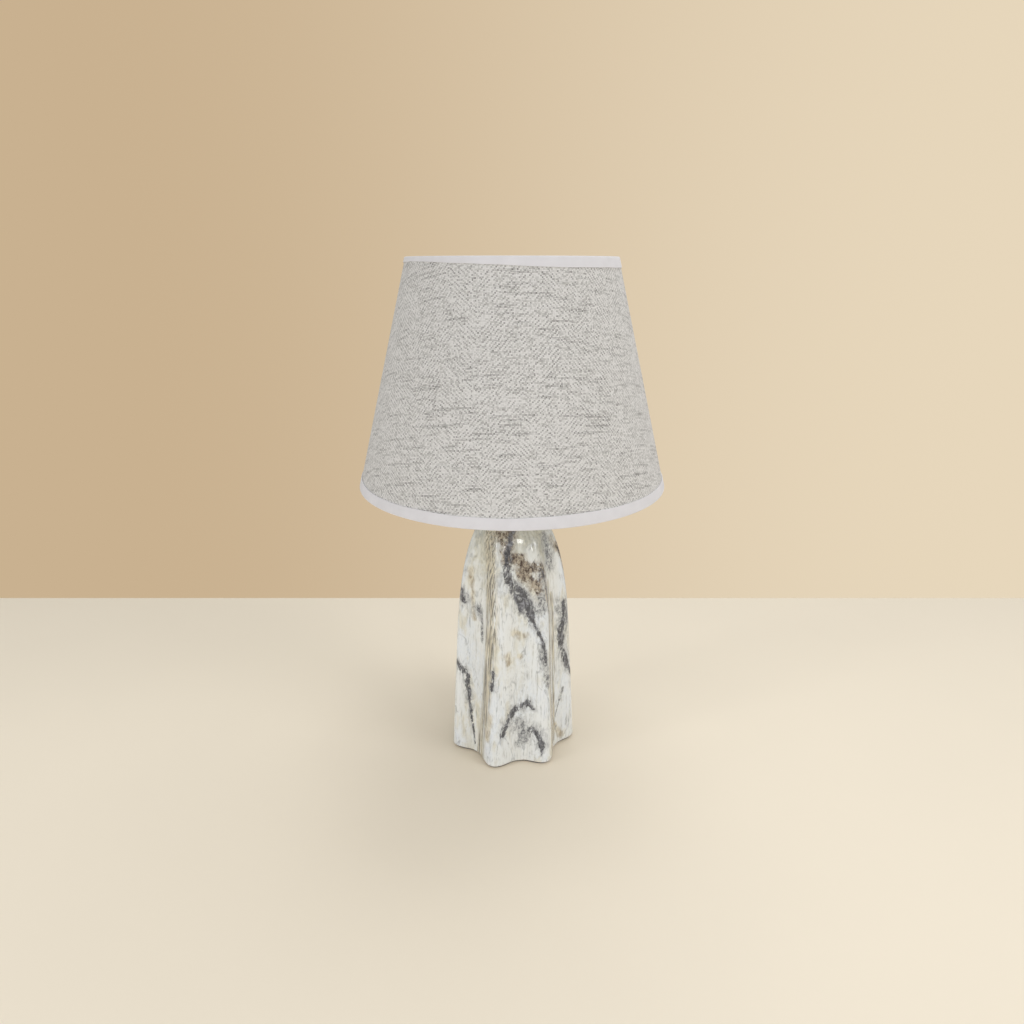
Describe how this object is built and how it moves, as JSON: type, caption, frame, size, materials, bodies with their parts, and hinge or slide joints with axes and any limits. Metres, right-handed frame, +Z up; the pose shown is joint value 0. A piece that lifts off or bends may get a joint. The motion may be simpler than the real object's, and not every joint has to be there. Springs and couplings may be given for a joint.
{
  "type": "table lamp with shade",
  "caption": "Table lamp with a lobed marble-glazed ceramic base and a tapered fabric drum shade clamped on a screw lamp holder.",
  "frame": {"origin": "on the surface the lamp stands on, at the middle of the base", "axes": "+Z up, along the lamp's axis; +Y towards the rear, where the cord inlet is; -Y is the front, at a flute of the base"},
  "size_m": [0.2008, 0.2008, 0.34],
  "materials": {
    "ceramic_body": "gloss glaze with brown and charcoal marbling",
    "felt": "needle felt",
    "rubber": "matt rubber",
    "zinc_steel": "bright zinc plating",
    "nickel_steel": "polished nickel plating",
    "brass": "plain brass strip and tube",
    "holder_plastic": "moulded white thermoset",
    "steatite": "unglazed steatite",
    "frame_white": "white powder coat on steel wire",
    "liner": "white PVC laminate film",
    "shade_fabric": "grey slub linen weave",
    "trim_tape": "white cotton bias tape",
    "bulb_plastic": "white moulded plastic",
    "diffuser": "opal polycarbonate",
    "bulb_black": "black moulded insulator",
    "bulb_cap_metal": "plain rolled aluminium",
    "circuit_board": "green solder mask",
    "led_phosphor": "yellow phosphor"
  },
  "bodies": {
    "base": {"ceramic_body": "ceramic_body", "felt_pad": "felt", "cord_grommet": "rubber", "threaded_tube": "brass", "base_nut": "zinc_steel", "steel_washer": "zinc_steel", "rubber_washer": "rubber", "neck_gasket": "rubber", "neck_cap": "nickel_steel", "lock_nut": "zinc_steel", "holder_cap": "holder_plastic", "locking_screw": "zinc_steel", "terminal_block": "steatite", "terminal_screws": "zinc_steel", "centre_contact": "brass", "side_contact": "brass", "screw_shell": "brass", "holder_skirt": "holder_plastic"},
    "shade": {"fitter_washer": "frame_white", "fitter_arms": "frame_white", "bottom_wire": "frame_white", "top_wire": "frame_white", "shade_liner": "liner", "shade_fabric": "shade_fabric", "top_trim": "trim_tape", "bottom_trim": "trim_tape"},
    "clamp_ring": {"clamp_ring": "holder_plastic"},
    "bulb": {"bulb_cap": "bulb_cap_metal", "bulb_contact": "bulb_cap_metal", "bulb_insulator": "bulb_black", "bulb_housing": "bulb_plastic", "driver_board": "circuit_board", "led_board": "bulb_plastic", "leds": "led_phosphor", "bulb_diffuser": "diffuser"}
  },
  "joints": [
    {"name": "shade_lift", "type": "slide", "parent": "base", "child": "shade", "axis": [0, 0, 1], "range_m": [0, 0.12]},
    {"name": "ring_turn", "type": "hinge", "parent": "shade", "child": "clamp_ring", "pos_m": [0, 0, 0.2169], "axis": [0, 0, 1], "range_deg": [0, 3420]},
    {"name": "bulb_lift", "type": "slide", "parent": "base", "child": "bulb", "axis": [0, 0, 1], "range_m": [0, 0.14]}
  ]
}
